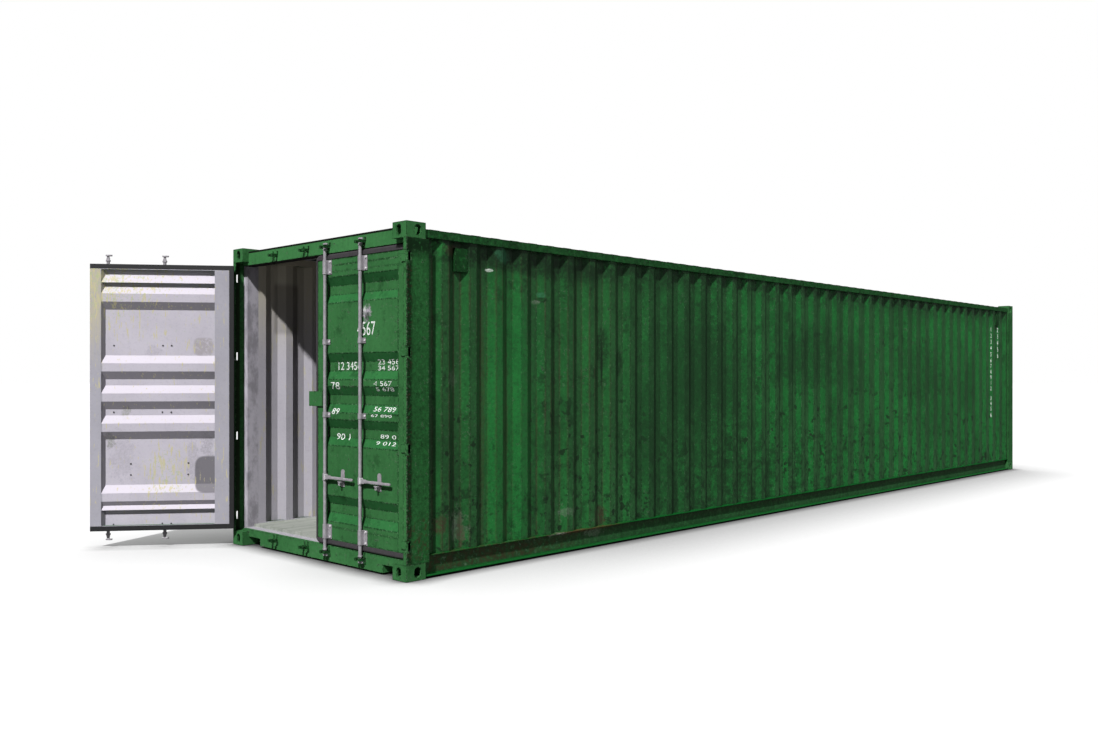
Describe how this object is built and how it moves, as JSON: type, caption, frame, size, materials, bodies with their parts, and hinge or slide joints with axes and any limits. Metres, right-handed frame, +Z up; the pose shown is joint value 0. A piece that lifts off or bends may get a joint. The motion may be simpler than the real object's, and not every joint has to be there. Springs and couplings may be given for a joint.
{
  "type": "shipping container",
  "caption": "Forty foot steel shipping container with fluted walls, corner castings, an open and a closed door leaf, lock bars and handles that turn, and a timber floor.",
  "frame": {"origin": "centre of the rectangle of the four bottom corner castings' apertures, on the plane they stand on", "axes": "+X along the length towards the blank end, +Y towards the left side seen from outside facing the doors, +Z up"},
  "size_m": [13.1693, 3.1226, 2.591],
  "materials": {
    "end_paint": "weathered green container paint",
    "side_paint": "weathered green container paint",
    "roof_paint": "weathered green container paint",
    "leaf_paint": "green paint outside, pale grey inside",
    "under_paint": "dark underside coating",
    "galvanised": "galvanised, dull",
    "seal_rubber": "matte black rubber",
    "floor_wood": "worn grey plywood",
    "threshold_steel": "scuffed pale paint"
  },
  "bodies": {
    "frame": {"top_castings": "end_paint", "bottom_castings": "end_paint", "left_door_post": "end_paint", "right_door_post": "end_paint", "hinge_lugs": "end_paint", "front_posts": "side_paint", "door_header": "end_paint", "door_sill": "end_paint", "threshold_plate": "threshold_steel", "front_top_rail": "side_paint", "front_bottom_rail": "side_paint", "front_wall": "side_paint", "top_side_rails": "side_paint", "bottom_side_rails": "side_paint", "left_side_wall": "side_paint", "right_side_wall": "side_paint", "side_vents": "side_paint", "roof_panel": "roof_paint", "cross_members": "under_paint", "gooseneck_tunnel": "under_paint", "floor_boards": "floor_wood", "cam_keepers": "end_paint"},
    "left_door": {"left_leaf_frame": "leaf_paint", "left_leaf_panel": "leaf_paint", "left_gasket": "seal_rubber", "left_hinge_blades": "end_paint", "left_bar_brackets": "galvanised", "left_handle_catches": "galvanised"},
    "left_inner_bar": {"left_inner_lock_bar": "galvanised"},
    "left_inner_handle": {"left_inner_handle": "galvanised"},
    "left_outer_bar": {"left_outer_lock_bar": "galvanised"},
    "left_outer_handle": {"left_outer_handle": "galvanised"},
    "right_door": {"right_leaf_frame": "leaf_paint", "right_leaf_panel": "leaf_paint", "right_gasket": "seal_rubber", "right_hinge_blades": "end_paint", "right_bar_brackets": "galvanised", "right_handle_catches": "galvanised", "lock_plate": "end_paint"},
    "right_inner_bar": {"right_inner_lock_bar": "galvanised"},
    "right_inner_handle": {"right_inner_handle": "galvanised"},
    "right_outer_bar": {"right_outer_lock_bar": "galvanised"},
    "right_outer_handle": {"right_outer_handle": "galvanised"}
  },
  "joints": [
    {"name": "left_door_swing", "type": "hinge", "parent": "frame", "child": "left_door", "pos_m": [-6.084, 1.207, 1.293], "axis": [0, 0, -1], "range_deg": [-128, 142]},
    {"name": "right_door_swing", "type": "hinge", "parent": "frame", "child": "right_door", "pos_m": [-6.084, -1.207, 1.293], "axis": [0, 0, 1], "range_deg": [0, 270]},
    {"name": "right_inner_bar_turn", "type": "hinge", "parent": "right_door", "child": "right_inner_bar", "pos_m": [-6.064, -0.15, 1.293], "axis": [0, 0, 1], "range_deg": [-90, 0]},
    {"name": "right_inner_handle_lift", "type": "hinge", "parent": "right_inner_bar", "child": "right_inner_handle", "pos_m": [-6.064, -0.194, 0.68], "axis": [-1, 0, 0], "range_deg": [0, 30]},
    {"name": "right_outer_bar_turn", "type": "hinge", "parent": "right_door", "child": "right_outer_bar", "pos_m": [-6.064, -0.618, 1.293], "axis": [0, 0, 1], "range_deg": [-90, 0]},
    {"name": "right_outer_handle_lift", "type": "hinge", "parent": "right_outer_bar", "child": "right_outer_handle", "pos_m": [-6.064, -0.662, 0.68], "axis": [-1, 0, 0], "range_deg": [0, 30]},
    {"name": "left_inner_bar_turn", "type": "hinge", "parent": "left_door", "child": "left_inner_bar", "pos_m": [-6.92924, 1.84199, 1.293], "axis": [0, 0, -1], "range_deg": [-90, 0]},
    {"name": "left_inner_handle_lift", "type": "hinge", "parent": "left_inner_bar", "child": "left_inner_handle", "pos_m": [-6.89457, 1.8149, 0.68], "axis": [-0.6157, -0.788, 0], "range_deg": [0, 30]},
    {"name": "left_outer_bar_turn", "type": "hinge", "parent": "left_door", "child": "left_outer_bar", "pos_m": [-6.56045, 1.55386, 1.293], "axis": [0, 0, -1], "range_deg": [-90, 0]},
    {"name": "left_outer_handle_lift", "type": "hinge", "parent": "left_outer_bar", "child": "left_outer_handle", "pos_m": [-6.52578, 1.52677, 0.68], "axis": [-0.6157, -0.788, 0], "range_deg": [0, 30]}
  ]
}
